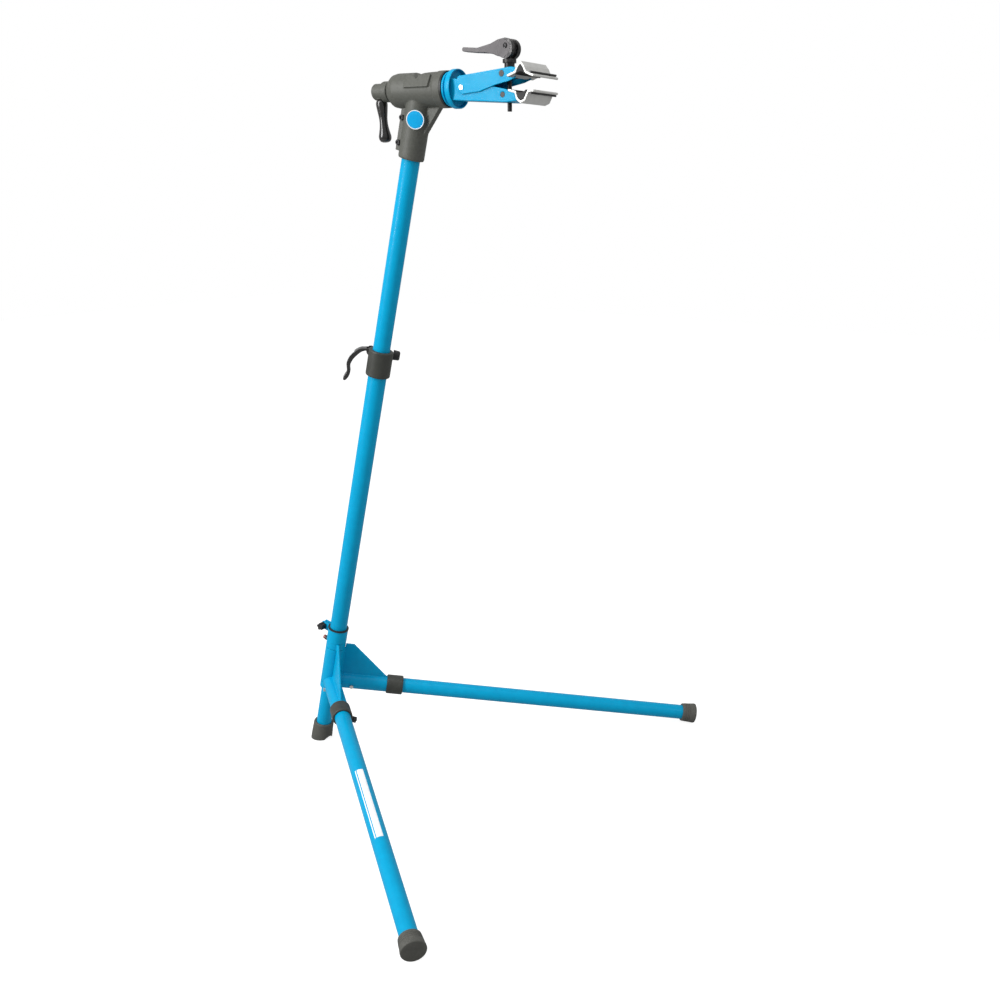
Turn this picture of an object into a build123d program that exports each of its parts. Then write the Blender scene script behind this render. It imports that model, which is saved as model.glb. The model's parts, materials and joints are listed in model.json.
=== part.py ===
from build123d import *
from math import atan2, cos, degrees, hypot, radians, sin
import os

# A folding bicycle repair stand. Millimetres and degrees throughout.
# +X is the way the clamp arm points, +Y is left and +Z is up.

# ---- driving dimensions -------------------------------------------------
MAST_LEAN = 14.45         # mast leans forward from upright
LEG_AZIMUTH = 39.2        # each leg, to either side of straight ahead
LEG_SLOPE = 8.95          # legs run down to the floor
LEG_LENGTH = 895.5        # hub centre to the end of a leg's boot
HEAD_AT = 1295.0          # hub centre to the clamp axis, along the mast
FOOT_AT = -157.0          # lower end of the foot tube, along the mast
FIT = 0.1                 # radial clearance of a sliding or turning fit
WALL = 1.5                # wall of every round tube

LOWER_R = 19.05           # lower mast and the leg sockets
UPPER_R = 17.45           # upper mast, legs and the foot tube
SLEEVE_R = 20.65          # base tube that the lower mast stands in
KNUCKLE_R = 22.2          # leg brackets around the base tube
BASE_TOP = 138.5
BASE_END = -21.0
KNUCKLE_SPAN = (-3.0, 89.6)
SWING_RINGS = ((-21.0, -3.4), (90.0, 107.0))
GUSSET_TOP = 100.0        # top of the fixed leg's gusset
PIN_AT = 98.5             # pull pin, in the upper swinging ring
CLAMP_SPAN = (107.4, 138.5)

BOOT_R = 24.0             # rubber boots on the legs
SOCKET_SPAN = (30.0, 150.0)
LEG_COLLAR = (131.0, 169.0)
HEIGHT_COLLAR = (747.0, 801.0)
EAR_TURN = 128.0          # where the height collar is split, seen from above

BARREL_R = 30.0           # head casting, around the clamp shaft
BARREL_END = 62.0
FACET = 28.0              # the casting's side panels lean back this much
SHAFT_R = 10.0
FLANGE_AT = 65.6          # swivel flange, ahead of the head's centre
DISH_FLOOR = 79.0         # where the arms stand in the flange's dish
JAW_HALF = 40.0           # half the length of a jaw
TUBE_R = 16.0             # bicycle tube that the pads are moulded to
TUBE_X, TUBE_Z = 243.0, 3.0
BADGE_TURN = -60.0        # plain badge, around the stem from straight ahead
BADGE_DROP = 49.0
PIVOT_X = 108.0           # jaw pivot, ahead of the head's centre
ROD_X = 194.5             # clamp rod, ahead of the head's centre
NUT_Z = -14.0             # trunnion nut in the lower arm
CAM_X, CAM_Z = 195.0, 64.0

# ---- frames ----------------------------------------------------------------
HUB_HEIGHT = LEG_LENGTH * sin(radians(LEG_SLOPE)) + BOOT_R * cos(radians(LEG_SLOPE))
HUB = Vector(0, 0, HUB_HEIGHT)
MAST_WAY = Vector(sin(radians(MAST_LEAN)), 0, cos(radians(MAST_LEAN)))
FORWARD = Vector(cos(radians(MAST_LEAN)), 0, -sin(radians(MAST_LEAN)))
MAST = Plane(origin=HUB, x_dir=FORWARD, z_dir=MAST_WAY).location
HEAD = Pos(*(HUB + MAST_WAY * HEAD_AT))
EARS = MAST * Rot(0, 0, EAR_TURN)


def leg_frame(side):
    """Frame at the hub with X out along a leg and Z in the plane of the mast."""
    flat = cos(radians(LEG_SLOPE))
    turn = radians(LEG_AZIMUTH * side)
    out = Vector(flat * cos(turn), flat * sin(turn), -sin(radians(LEG_SLOPE)))
    up = (MAST_WAY - out * MAST_WAY.dot(out)).normalized()
    return Plane(origin=HUB, x_dir=out, z_dir=up).location


FAR = leg_frame(1)
NEAR = leg_frame(-1)
NODES = {}


# ---- shapes that repeat -----------------------------------------------------
def rod(radius, z0, z1):
    """Round bar along Z."""
    return Pos(0, 0, (z0 + z1) / 2) * Cylinder(radius, z1 - z0)


def tube(outer, inner, z0, z1):
    """Round tube along Z."""
    return rod(outer, z0, z1) - rod(inner, z0 - 1, z1 + 1)


def along_x(shape):
    """Turn a shape made along Z to lie along X."""
    return Rot(0, 90, 0) * shape


def along_y(shape):
    """Turn a shape made along Z to lie along Y."""
    return Rot(-90, 0, 0) * shape


def pin_y(radius, x, z, y0, y1):
    """Round pin across the object, at x and z, from y0 to y1."""
    return Pos(x, 0, z) * along_y(rod(radius, y0, y1))


def slab(face, y0, y1):
    """Give a flat outline drawn in x and z its thickness, from y0 to y1."""
    return Pos(0, y1, 0) * Rot(90, 0, 0) * extrude(face, y1 - y0)


def plate(points, y0, y1, corner=0.0):
    """Flat plate with straight edges between its x, z points."""
    face = make_face(Polyline(*points, close=True))
    if corner:
        face = fillet(face.vertices(), corner)
    return slab(face, y0, y1)


def strip(points, thick, y0, y1):
    """Bent strip of even thickness, rounded at its ends and bends."""
    face = Sketch()
    for (x0, z0), (x1, z1) in zip(points, points[1:]):
        turn = Rot(0, 0, degrees(atan2(z1 - z0, x1 - x0)))
        middle = Pos((x0 + x1) / 2, (z0 + z1) / 2)
        face += middle * turn * SlotCenterToCenter(hypot(x1 - x0, z1 - z0), thick)
    return slab(face, y0, y1)


def turned(points, axis=Axis.Z):
    """Solid turned on a lathe: points are radius and height, closed on the axis."""
    outline = [(0, points[0][1]), *points, (0, points[-1][1])]
    face = make_face(Polyline(*outline, close=True))
    return revolve(Rot(90, 0, 0) * face, axis)


def block(x0, x1, y0, y1, z0, z1):
    """Box between two corners."""
    return Pos((x0 + x1) / 2, (y0 + y1) / 2, (z0 + z1) / 2) * Box(x1 - x0, y1 - y0, z1 - z0)


def knob(radius, height, lobes):
    """Lobed hand knob standing on Z = 0."""
    body = rod(radius, 0, height)
    for i in range(lobes):
        turn = radians(360 / lobes * i)
        body -= Pos(1.18 * radius * cos(turn), 1.18 * radius * sin(turn)) * rod(0.42 * radius, -1, height + 1)
    return body


def keep(name, *solids):
    """File one named piece; several solids make a group of equal fasteners."""
    NODES[name] = [part for solid in solids for part in solid.solids()]


# ---- base ------------------------------------------------------------------
def base():
    sleeve = tube(SLEEVE_R, LOWER_R + FIT, BASE_END, BASE_TOP)
    sleeve -= block(-30, -15, -1.5, 1.5, CLAMP_SPAN[0] + 2, BASE_TOP + 1)
    keep("base_tube", MAST * sleeve)
    keep("foot_tube", MAST * tube(UPPER_R, UPPER_R - WALL, FOOT_AT, -2))
    keep("foot_bushing", MAST * tube(LOWER_R + FIT, UPPER_R, BASE_END, -2))
    screw = along_x(rod(4.2, -22, -16) - rod(1.8, -23, -20)) - Pos(0, 0, 31) * rod(UPPER_R, -50, 0)
    keep("foot_screw", MAST * Pos(0, 0, -31) * screw)
    keep("top_bushing", MAST * (tube(23.3, LOWER_R + FIT, BASE_TOP, BASE_TOP + 3.2)
                                - block(-30, -15, -1.5, 1.5, BASE_TOP - 1, BASE_TOP + 5)))


def rear_foot():
    """Boot of the mast's foot: two lugs on the floor, arched between them."""
    boot = turned([(24.3, -185), (24.3, -157), (23.2, -125), (22.0, -122)])
    boot = MAST * (boot - rod(UPPER_R, FOOT_AT, 0))
    boot &= block(-150, 100, -60, 60, 0, 150)
    arch_x = -HUB_HEIGHT * MAST_WAY.X
    boot -= Pos(arch_x, 0, -8) * along_x(rod(15, -60, 60))
    keep("foot_boot", boot)


def leg_socket(frame, side, gusset):
    """Leg socket with its gusset, cut back so that the two legs pass each other."""
    socket = along_x(rod(LOWER_R, 8, SOCKET_SPAN[1])) + plate(gusset, -2.2, 2.2)
    socket -= along_x(rod(UPPER_R + FIT, SOCKET_SPAN[0] + 4, SOCKET_SPAN[1] + 1))
    beyond = Pos(*HUB) * block(-100, 300, -300, 0.3, -300, 300)
    return frame * socket - (beyond if side > 0 else mirror(beyond, Plane.XZ))


def fixed_bracket():
    """Far leg's socket and the knuckle, both welded to the base tube."""
    low, high = KNUCKLE_SPAN
    gusset = [(12, low), (30, -12), (52, -8), (131, 0), (131, 19), (46, GUSSET_TOP), (12, GUSSET_TOP)]
    bracket = leg_socket(FAR, 1, gusset)
    bracket -= MAST * (rod(KNUCKLE_R + 0.4, -60, low) + rod(KNUCKLE_R + 0.4, high, 150))
    bracket += MAST * rod(KNUCKLE_R, low, high)
    keep("fixed_leg_bracket", bracket - MAST * rod(SLEEVE_R, -60, 150))


def swing_bracket():
    """Near leg's socket on two rings that turn around the base tube."""
    low, high = SWING_RINGS
    gusset = [(12, low[0]), (30, low[0]), (52, -8), (131, 0), (131, 19), (44, 96), (30, high[1]), (12, high[1])]
    bracket = leg_socket(NEAR, -1, gusset)
    bracket &= MAST * rod(250, low[0], high[1])
    bracket -= MAST * rod(KNUCKLE_R + 0.4, low[1], high[0])
    for ring in SWING_RINGS:
        bracket += MAST * rod(KNUCKLE_R, *ring)
    bracket -= MAST * rod(SLEEVE_R + FIT, -60, 150)
    bracket -= MAST * Pos(0, 0, PIN_AT) * along_x(rod(2.6, -40, 0))
    keep("swing_leg_bracket", bracket)


def pull_pin():
    """Spring pin that locks the swinging leg."""
    seat = Pos(0, 0, PIN_AT)
    boss = along_x(rod(5.4, -31, -21.6) - rod(2.6, -32, -20))
    keep("pull_pin_boss", MAST * (seat * boss - rod(KNUCKLE_R, 80, 120)))
    pin = rod(2.5, -32, -SLEEVE_R - 0.3) + rod(4.6, -36.5, -31.4)
    keep("pull_pin", MAST * seat * along_x(pin))


CLAMP_AXLE = -37.0        # screw of the sleeve clamp, behind the mast's axis


def sleeve_clamp():
    """Split clamp at the top of the base tube, with its screw and hand knob."""
    low, high = CLAMP_SPAN
    band = rod(KNUCKLE_R + 0.3, low, high) + block(-43, -18, -7.5, 7.5, high - 16, high)
    band -= rod(SLEEVE_R, 100, 160)
    band -= block(-60, -15, -1.5, 1.5, 100, 160)
    axle = Pos(CLAMP_AXLE, 0, high - 7.5)
    band -= axle * along_y(rod(3, -20, 20))
    keep("sleeve_clamp", MAST * band)
    nut = RegularPolygon(5.2, 6)
    screw = rod(3, -10, 12.5) + Pos(0, 0, 7.5) * extrude(nut, 4)
    keep("sleeve_clamp_screw", MAST * axle * along_y(screw))
    grip = Rot(180, 0, 0) * knob(8.6, 13, 5) - rod(3 + FIT, -8, 1)
    keep("sleeve_knob", MAST * axle * along_y(Pos(0, 0, -8.4) * grip))


# ---- legs ------------------------------------------------------------------
COLLAR_KNOB = -20.0       # the collar knobs point this much below level


def leg(name, frame, bolt_at):
    """Leg tube, boot, collar, collar knob and socket bolt of one leg."""
    inner = SOCKET_SPAN[0] + 5
    cup = LEG_LENGTH - 34
    keep(name + "_leg_tube", frame * along_x(tube(UPPER_R, UPPER_R - WALL, inner, LEG_LENGTH - 7)))
    shell = turned([(20.6, cup), (22.4, cup + 3), (BOOT_R, LEG_LENGTH - 5), (BOOT_R, LEG_LENGTH)])
    shell -= rod(UPPER_R, cup - 1, LEG_LENGTH - 7)
    keep(name + "_leg_boot", frame * along_x(shell))
    low, high = LEG_COLLAR
    ring = turned([(21.4, low), (22.6, low + 2), (22.6, high - 2), (21.4, high)])
    ring -= rod(LOWER_R, low - 1, SOCKET_SPAN[1]) + rod(UPPER_R + FIT, low - 1, high + 1)
    seat = Pos((SOCKET_SPAN[1] + high) / 2 + 1, 0, 0) * Rot(COLLAR_KNOB, 0, 0)
    ring = along_x(ring) + seat * along_y(rod(6.5, 19.5, 24.5))
    ring -= seat * along_y(rod(2.9, 10, 30))
    keep(name + "_leg_collar", frame * ring)
    shank = rod(2.8, UPPER_R + 0.5, 26.5) + Pos(0, 0, 25.5) * knob(7.5, 9, 6)
    keep(name + "_collar_knob", frame * seat * along_y(shank))
    head = Pos(bolt_at, 0, -5) * along_y(rod(4.5, -22.5, -17.9))
    socket = along_x(rod(LOWER_R, *SOCKET_SPAN))
    keep(name + "_socket_bolt", frame * (head - socket))


# ---- mast ------------------------------------------------------------------
def masts():
    split = HEIGHT_COLLAR[0] + 23
    lower = tube(LOWER_R, UPPER_R + FIT, 0, split)
    keep("lower_mast", MAST * lower)
    keep("upper_mast", MAST * tube(UPPER_R, UPPER_R - WALL, 440, HEAD_AT - 28))
    keep("mast_plug", MAST * (rod(UPPER_R - 0.6, 434, 440) + rod(UPPER_R - WALL, 440, 452)))


SKEWER_R = 33.0           # quick-release skewer, from the mast's axis
SKEWER_AT = 786.0
HINGE_Y = 21.0            # the lever's pin, along the skewer
EAR_HALF = 8.0


def height_collar():
    """Split collar that clamps the upper mast, drawn in the ears' frame."""
    low, high = HEIGHT_COLLAR
    split = low + 23
    body = turned([(23.8, low), (25, low + 2), (25, high - 2), (23.8, high)])
    body += block(0, 41, -EAR_HALF, EAR_HALF, SKEWER_AT - 14, high)
    body -= rod(LOWER_R, low - 1, split) + rod(UPPER_R + FIT, low - 1, high + 1)
    body -= block(10, 50, -1.4, 1.4, low - 1, high + 1)
    seat = Pos(SKEWER_R, 0, SKEWER_AT)
    body -= seat * along_y(rod(3, -20, 20) + rod(9, -30, -EAR_HALF) + rod(9, EAR_HALF, 16))
    keep("height_collar", EARS * body)
    head = HINGE_Y - 10
    keep("height_skewer", EARS * seat * along_y(rod(3, -36, head) + rod(5.5, head, HINGE_Y - 6)))
    washers = (tube(7.5, 3, -EAR_HALF - 3, -EAR_HALF), tube(7.5, 5.5, EAR_HALF, EAR_HALF + 3))
    keep("height_washers", *[EARS * seat * along_y(washer) for washer in washers])
    keep("height_spacer", EARS * seat * along_y(tube(6, 3, -25, -EAR_HALF - 3)))
    nut = turned([(7, -39), (9.5, -37), (10.5, -25)]) - rod(3, -36, -20)
    keep("height_nut", EARS * seat * along_y(nut))


def height_lever():
    """Curved cam lever; it turns on a pin that points away from the mast."""
    hinge = Pos(SKEWER_R, HINGE_Y, SKEWER_AT)
    cheeks = along_x(rod(8.8, -8, 8))
    path = [(0, 0), (8, 3), (17, 1), (27, -7), (36, -19), (41, -32), (40, -42), (38, -51), (41, -59), (45, -68)]
    arm = Rot(0, 0, 90) * strip(path, 5, -8, 8)
    body = cheeks + arm - along_x(rod(10.4, -5.8, 5.8) + rod(2.5 + FIT, -9, 9))
    keep("height_lever", EARS * hinge * body)
    eye = along_x(rod(5.8, -5.4, 5.4) - rod(2.5, -9, 9))
    keep("height_skewer_eye", EARS * hinge * eye)
    keep("height_lever_pin", EARS * hinge * along_x(rod(2.5, -8.5, 8.5)))


# ---- head ------------------------------------------------------------------
def head_casting():
    """Hollow barrel, split stem and web in one casting, with its bolts and badge."""
    barrel = along_x(turned([(15, -69), (22, -66), (28, -58), (BARREL_R, -48), (BARREL_R, 45),
                             (31.3, 46), (31.3, BARREL_END)]))
    for side in (-1, 1):
        lean_back = Rot(FACET * side, 0, 0)
        inner, outer = sorted((24 * side, 31 * side))
        barrel += lean_back * block(-17, 38.5, inner, outer, -12, 12)
        inner, outer = sorted((27 * side, 40 * side))
        barrel -= lean_back * block(37.8, 43.6, inner, outer, -12.3, 12.3)
    barrel -= plate([(-9, 40), (-9, 30), (9, 16.5), (9.5, 25), (17, 28), (36, 29.6), (36, 40)], -40, 40)
    web = plate([(20, -20), (42, -27), (44, -31), (5, -78), (-10, -78), (-10, -20)], -6, 6)
    low, high = HEAD_AT - 121, HEAD_AT - 8
    lean = Rot(0, MAST_LEAN, 0) * Pos(0, 0, -HEAD_AT)
    stem = turned([(23.4, low), (24.5, low + 3), (24.5, high)])
    stem += block(-33, -15, -9, 9, low + 9, HEAD_AT - 38)
    casting = barrel + web + lean * stem
    casting -= lean * rod(UPPER_R, low - 10, HEAD_AT - 28)
    casting -= lean * block(-60, -10, -1.5, 1.5, low - 5, HEAD_AT - 34)
    casting -= along_x(rod(SHAFT_R + 5, -80, 80))
    bolts = []
    for z in (HEAD_AT - 98, HEAD_AT - 54):
        casting -= lean * pin_y(3, -28, z, -30, 30)
        bolt = pin_y(3, -28, z, -9, 9) + pin_y(5, -28, z, -13, -9)
        bolts.append(HEAD * lean * (bolt + pin_y(5.2, -28, z, 9, 13)))
    keep("head_casting", HEAD * casting)
    keep("head_pinch_bolts", *bolts)
    badge = Pos(0, 0, HEAD_AT - BADGE_DROP) * Rot(0, 0, BADGE_TURN) * along_x(rod(16.5, 12, 26.4))
    keep("head_badge", HEAD * (lean * (badge - rod(24.5, low, high)) - barrel - web))


def head_bearings():
    """Flanged plastic bushings that the clamp shaft turns in."""
    rear = tube(SHAFT_R + 5, SHAFT_R + FIT, -69, -36) + tube(14.5, SHAFT_R + FIT, -71, -69)
    front = tube(SHAFT_R + 5, SHAFT_R + FIT, 24, BARREL_END)
    front += tube(31, SHAFT_R + FIT, BARREL_END, FLANGE_AT - 0.4)
    keep("rear_bushing", HEAD * along_x(rear))
    keep("front_bushing", HEAD * along_x(front))


def lock_handle():
    """Club handle on a lug that turns the nut at the back of the clamp shaft."""
    hub = turned([(12.5, -110), (14.5, -107), (14.5, -88), (18, -86), (18, -73), (16, -71.4)])
    hub = along_x(hub) + Pos(-96, 0, -8) * rod(9.5, -5, 4)
    hub -= along_x(rod(7 + FIT, -98, -60))
    keep("handle_hub", HEAD * hub)
    club = turned([(9.5, 0), (11, -6), (9.5, -18), (7.8, -32), (8.2, -44), (10.4, -55), (12, -62),
                   (11.4, -67), (8, -71.5), (3, -73)])
    seat = Pos(-96, 0, -15) * Rot(0, -5, 0)
    keep("handle_grip", HEAD * (seat * club - hub - along_x(rod(14.5, -110, -80))))


# ---- clamp ------------------------------------------------------------------
def swivel():
    """Shaft through the head and the flange that carries the arms."""
    keep("clamp_shaft", HEAD * along_x(rod(SHAFT_R, -71, FLANGE_AT) + rod(7, -97, -71)))
    flange = turned([(29, FLANGE_AT), (29, 69.6), (23, 71), (23, 74), (33, 76), (33, 86)])
    keep("swivel_flange", HEAD * along_x(flange - rod(30.5, DISH_FLOOR, 87)))


UPPER_LINE = [(217, 14), (232, 19), (236, 27), (243, 34), (249, 27), (253, 19), (259, 16), (268, 13)]
LOWER_LINE = [(219, -9), (232, -12), (236, -23), (243, -28), (251, -25), (256, -16), (259, -11), (268, -11)]


def jaw(line):
    return strip(line, 4, -JAW_HALF, JAW_HALF)


def lower_arm():
    outline = [(DISH_FLOOR, -19.5), (DISH_FLOOR, 15), (92, 15), (173, 0), (200, -5), (221, -12), (232, -12), (230, -24),
               (200, -26)]
    sides = plate(outline, -22.5, 22.5)
    inside = plate([(DISH_FLOOR + 2.5, -17), (DISH_FLOOR + 2.5, 30), (240, 30), (240, -21.5), (200, -23.5)],
                   -20, 20)
    arm = sides - inside - jaw(LOWER_LINE)
    arm -= pin_y(4, PIVOT_X, 0, -30, 30) + pin_y(4.6, ROD_X, NUT_Z, -30, 30)
    arm -= block(ROD_X - 6, ROD_X + 10, -5.5, 5.5, -40, -15)
    keep("lower_arm", HEAD * arm)
    pin = pin_y(4, PIVOT_X, 0, -26.4, 26.4)
    keep("jaw_pivot_pin", HEAD * pin)
    snap = [HEAD * (pin_y(5.6, PIVOT_X, 0, y, y + 1.5) - pin_y(4, PIVOT_X, 0, -30, 30)) for y in (-18.5, 17)]
    keep("pivot_snap_rings", *snap)


def upper_arm():
    outline = [(97, -3), (100, 17), (104, 19), (214, 29.5), (224, 27), (224, 12), (209, 7), (182, 2),
               (146, -8), (109, -11)]
    sides = plate(outline, -25.5, 25.5)
    inside = plate([(80, -20), (80, 14.8), (104, 16.3), (214, 26.8), (240, 24), (240, -20)], -23, 23)
    arm = sides - inside - jaw(UPPER_LINE)
    arm -= block(80, 112, -23, 23, -20, 40)
    arm -= pin_y(4 + FIT, PIVOT_X, 0, -30, 30) + pin_y(5, ROD_X, 19.5, -30, 30)
    arm -= block(177, 210, -5.5, 5.5, 10, 40)
    keep("upper_arm", HEAD * arm)
    keep("upper_trunnions", *[HEAD * pin_y(5, ROD_X, 19.5, y, y + 4) for y in (-26, 22)])


def jaws_and_pads():
    held = pin_y(TUBE_R, TUBE_X, TUBE_Z, -60, 60)
    pads = {"upper": [(231, 17), (236, 27), (243, 34), (249, 27), (256, 15.5), (254, 13), (233, 13)],
            "lower": [(232, -12), (236, -23), (243, -28), (251, -25), (256, -14), (254, -8), (232, -8)]}
    for name, line in (("upper", UPPER_LINE), ("lower", LOWER_LINE)):
        shell = jaw(line)
        keep(name + "_jaw", HEAD * shell)
        pad = plate(pads[name], -JAW_HALF, JAW_HALF) - shell - held
        keep(name + "_pad", HEAD * pad)
        side = 1 if name == "upper" else -1
        lip = 14.9 if side > 0 else -11
        wire = pin_y(1.8, 264, lip + side * 3.3, -JAW_HALF - 1, JAW_HALF + 1) - shell
        keep(name + "_pad_wire", HEAD * wire)


def clamp_rod():
    nut = pin_y(6.5, ROD_X, NUT_Z, -19.4, 19.4) + pin_y(4.5, ROD_X, NUT_Z, -22.4, 22.4)
    keep("trunnion_nut", HEAD * (nut - Pos(ROD_X, 0, 0) * rod(4 + FIT, -60, 60)))
    shank = Pos(ROD_X, 0, 0) * rod(4, -40, CAM_Z - 4) + pin_y(7.4, CAM_X, CAM_Z, -5, 5)
    keep("clamp_rod", HEAD * (shank - pin_y(4, CAM_X, CAM_Z, -20, 20)))
    keep("cam_pin", HEAD * pin_y(4, CAM_X, CAM_Z, -14.6, 14.6))
    keep("cam_saddle", HEAD * Pos(ROD_X, 0, 0) * (tube(12, 4, 37.6, 43.6) + tube(9, 4, 30, 37.6)))


def cam_lever():
    arm = plate([(103, 59), (103, 66), (132, 63.8), (160, 69), (176, 75), (190, 77), (188, 46), (174, 49),
                 (165, 52.5), (150, 55), (122, 57)], -9, 9, 2)
    tip = pin_y(3.6, 103, 62.5, -9, 9)
    head = pin_y(15.8, 193, 60, -14, 14)
    lever = arm + tip + head
    slot = block(174, 206, -5.6, 5.6, 30, 90) + block(200, 215, -5.6, 5.6, 30, 90)
    lever -= slot
    lever -= pin_y(4 + FIT, CAM_X, CAM_Z, -30, 30)
    rim = pin_y(16.4, 193, 60, -14, 14) - pin_y(13.5, 191, 60, -15, 15) - block(150, 193, -20, 20, 30, 90)
    rim -= slot
    keep("cam_lever", HEAD * (lever - rim))
    keep("cam_wear_faces", HEAD * rim)


def build():
    base()
    rear_foot()
    fixed_bracket()
    swing_bracket()
    pull_pin()
    sleeve_clamp()
    leg("near", NEAR, 42)
    leg("far", FAR, 50)
    masts()
    height_collar()
    height_lever()
    head_casting()
    head_bearings()
    lock_handle()
    swivel()
    lower_arm()
    upper_arm()
    jaws_and_pads()
    clamp_rod()
    cam_lever()


build()
whole = Compound([solid for solids in NODES.values() for solid in solids]).bounding_box()
CENTRE = Pos(-(whole.min.X + whole.max.X) / 2, 0, -whole.min.Z)
os.makedirs("parts", exist_ok=True)
for name, solids in NODES.items():
    placed = [CENTRE * solid for solid in solids]
    export_step(placed[0] if len(placed) == 1 else Compound(placed), f"parts/{name}.step")
print(len(NODES), "pieces; origin moved by", CENTRE.position)
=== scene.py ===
# %% [markdown]
# A bike repair stand
#
# The stand leans forward on two splayed legs and a rear foot. Its CAD model is already packed, and this script
# builds the visible stand around it. The joints of the imported model give the axes of the mast, the legs and the
# clamp, and the sizes of the new pieces are given in millimetres.

# %% Load the frame
import json
import math

import bmesh
import bpy
from mathutils import Matrix, Vector


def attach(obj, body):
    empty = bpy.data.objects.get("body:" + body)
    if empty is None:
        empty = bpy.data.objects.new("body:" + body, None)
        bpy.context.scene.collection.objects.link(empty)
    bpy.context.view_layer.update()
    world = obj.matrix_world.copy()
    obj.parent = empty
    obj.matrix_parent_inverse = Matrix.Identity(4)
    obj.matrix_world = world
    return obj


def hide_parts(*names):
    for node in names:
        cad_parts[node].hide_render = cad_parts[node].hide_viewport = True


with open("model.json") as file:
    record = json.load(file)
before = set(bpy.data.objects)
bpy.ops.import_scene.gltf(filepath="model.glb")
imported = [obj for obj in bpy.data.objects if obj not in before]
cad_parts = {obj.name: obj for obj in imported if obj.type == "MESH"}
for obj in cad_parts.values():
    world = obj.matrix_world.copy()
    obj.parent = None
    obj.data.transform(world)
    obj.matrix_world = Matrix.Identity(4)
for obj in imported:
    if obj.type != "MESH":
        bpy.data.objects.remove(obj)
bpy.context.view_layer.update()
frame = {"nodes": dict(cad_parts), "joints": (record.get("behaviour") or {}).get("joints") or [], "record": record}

MM = 0.001
joints = {joint["name"]: joint for joint in frame["joints"]}

# %% [markdown]
# Frames of reference
#
# A round piece is easiest to draw standing on the Z axis. On the real stand its axis leans, so each piece
# is drawn upright and then carried to its place by one matrix. Few are needed: one along the mast, one
# along each leg, and one along the clamp shaft. The club handle only needs a shift to the head. The origins
# and axes come from the joints, so a piece can't drift from the part that it rides on.


# %% Places on the stand
def place(origin, along, beside):
    """Matrix that carries Z to along, and X to the part of beside that is square to it."""
    z = Vector(along).normalized()
    x = (Vector(beside) - z * z.dot(Vector(beside))).normalized()
    turn = Matrix((x, z.cross(x), z)).transposed().to_4x4()
    return Matrix.Translation(Vector(origin)) @ turn


HUB = Vector(joints["swing_leg"]["pos_m"])
MAST_WAY = Vector(joints["swing_leg"]["axis"])
HEAD = Vector(joints["clamp_spin"]["pos_m"])
mast = place(HUB, MAST_WAY, (1, 0, 0))
shaft = place(HEAD, (1, 0, 0), (0, 0, 1))
head = Matrix.Translation(HEAD)
legs = {side: place(HUB, joints[side + "_leg_slide"]["axis"], MAST_WAY) for side in ("near", "far")}
print("hub", [round(c, 3) for c in HUB], "head", [round(c, 3) for c in HEAD])

# %% [markdown]
# The camera
#
# The stand is seen from in front and to its right, from a little below the clamp. The camera is placed
# from the hub, where the legs meet the mast, and turned to look past the mast. Aiming it at the middle of
# the stand would tilt it and change the perspective, so a small shift of the lens centres the picture.

# %% Camera
CAMERA_FROM_HUB = Vector((1.7372, -1.8145, 1.0880))
YAW = math.radians(-31.30)
PITCH = math.radians(20.25)
ROLL = math.radians(0.56)
LENS = 40.92
LENS_SHIFT = (-0.0613, 0.1076)


def make_camera():
    camera = bpy.data.objects.new("camera", bpy.data.cameras.new("camera"))
    bpy.context.scene.collection.objects.link(camera)
    camera.data.lens = LENS
    camera.data.shift_x, camera.data.shift_y = LENS_SHIFT
    look = Vector((math.sin(YAW) * math.cos(PITCH), math.cos(YAW) * math.cos(PITCH), -math.sin(PITCH)))
    turn = look.to_track_quat("-Z", "Y").to_matrix().to_4x4() @ Matrix.Rotation(ROLL, 4, "Z")
    camera.matrix_world = Matrix.Translation(HUB + CAMERA_FROM_HUB) @ turn
    bpy.context.scene.camera = camera
    return camera


camera = make_camera()
print("camera at", [round(c, 2) for c in camera.location])

# %% [markdown]
# Light and floor
#
# A product picture is lit by large soft panels. A big panel on the left gives the tubes their long bright
# streak, a weaker one on the right keeps their shaded side readable, and a pale world fills the rest. One
# strength of world can't do both jobs: bright enough for a white background, it would wash the paint out.
# So the camera sees one strength, and the stand is lit by another.


# %% Studio
WORLD_LIGHT, WORLD_PICTURE = 0.58, 1.0
STAND_MIDDLE = (0, 0, 0.75)


def make_panel(name, position, target, size, power):
    light = bpy.data.objects.new(name, bpy.data.lights.new(name, "AREA"))
    bpy.context.scene.collection.objects.link(light)
    light.data.shape = "RECTANGLE"
    light.data.size = size[0]
    light.data.size_y = size[1]
    light.data.energy = power
    position = Vector(position)
    aim = (Vector(target) - position).to_track_quat("-Z", "Y").to_matrix().to_4x4()
    light.matrix_world = Matrix.Translation(position) @ aim
    print(f"{name}: {power} W from {size[0]} by {size[1]} m")


def camera_sees(tree, light, picture):
    """One strength for the light that falls on things, another for what the camera sees."""
    node = tree.nodes.new("ShaderNodeMapRange")
    node.inputs["To Min"].default_value = light
    node.inputs["To Max"].default_value = picture
    tree.links.new(tree.nodes.new("ShaderNodeLightPath").outputs["Is Camera Ray"], node.inputs["Value"])
    return node.outputs["Result"]


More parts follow.
